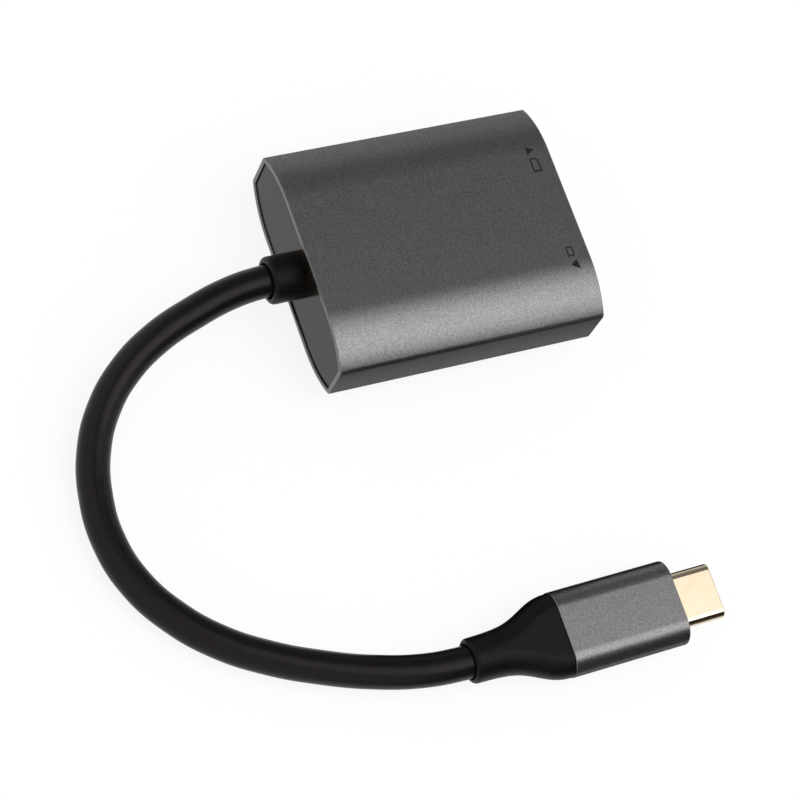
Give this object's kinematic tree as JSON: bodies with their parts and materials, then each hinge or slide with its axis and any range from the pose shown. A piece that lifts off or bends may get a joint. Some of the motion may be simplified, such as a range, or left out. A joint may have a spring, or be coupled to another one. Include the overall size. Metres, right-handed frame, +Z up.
{
  "type": "memory card reader",
  "caption": "Small flat metal housing with slots for a full-size and a small memory card in one end, and a short cable from the other to a reversible computer plug.",
  "frame": {"origin": "middle of the housing's footprint, on the surface that it stands on", "axes": "+X from the cable end to the slot end, +Y to the far side in the picture, +Z up"},
  "size_m": [0.0855, 0.0842, 0.0132],
  "materials": {
    "anodised_grey": "fine bead-blasted, anodised dark grey",
    "plug_grey": "fine bead-blasted, anodised dark grey",
    "end_plate_black": "smooth glossy dark plastic",
    "carrier_plastic": "moulded, fine texture",
    "steel": "rolled sheet, nickel plated",
    "circuit_board": "solder mask over glass fibre",
    "socket_plastic": "moulded, matt",
    "gold_plate": "gold-plated spring contacts",
    "gold_shell": "polished gold-plated shell",
    "chip_black": "moulded package",
    "chip_ceramic": "fired ceramic",
    "wire_red": "insulated wire",
    "soft_black": "soft moulded, fine texture",
    "cable_black": "smooth satin jacket"
  },
  "bodies": {
    "root": {"housing_sleeve": "anodised_grey", "plug_cover": "plug_grey", "rear_end_plate": "end_plate_black", "front_end_plate": "end_plate_black", "board_carrier": "carrier_plastic", "carrier_screws": "steel", "main_board": "circuit_board", "card_socket_base": "socket_plastic", "card_socket_cover": "steel", "card_contacts": "gold_plate", "card_detect_springs": "gold_plate", "small_socket_base": "socket_plastic", "small_socket_cover": "steel", "small_contacts": "gold_plate", "controller_chip": "chip_black", "regulator_chip": "chip_black", "timing_crystal": "steel", "board_capacitors": "chip_ceramic", "board_resistors": "chip_black", "inner_wires": "wire_red", "strain_relief": "soft_black", "cable_jacket": "cable_black", "plug_boot": "soft_black", "plug_core": "socket_plastic", "plug_shell": "gold_shell", "plug_insulator": "socket_plastic", "plug_contacts_upper": "gold_plate", "plug_contacts_lower": "gold_plate", "plug_latch": "steel", "plug_ground_springs": "steel", "plug_board": "circuit_board", "plug_wires": "wire_red"}
  },
  "joints": []
}
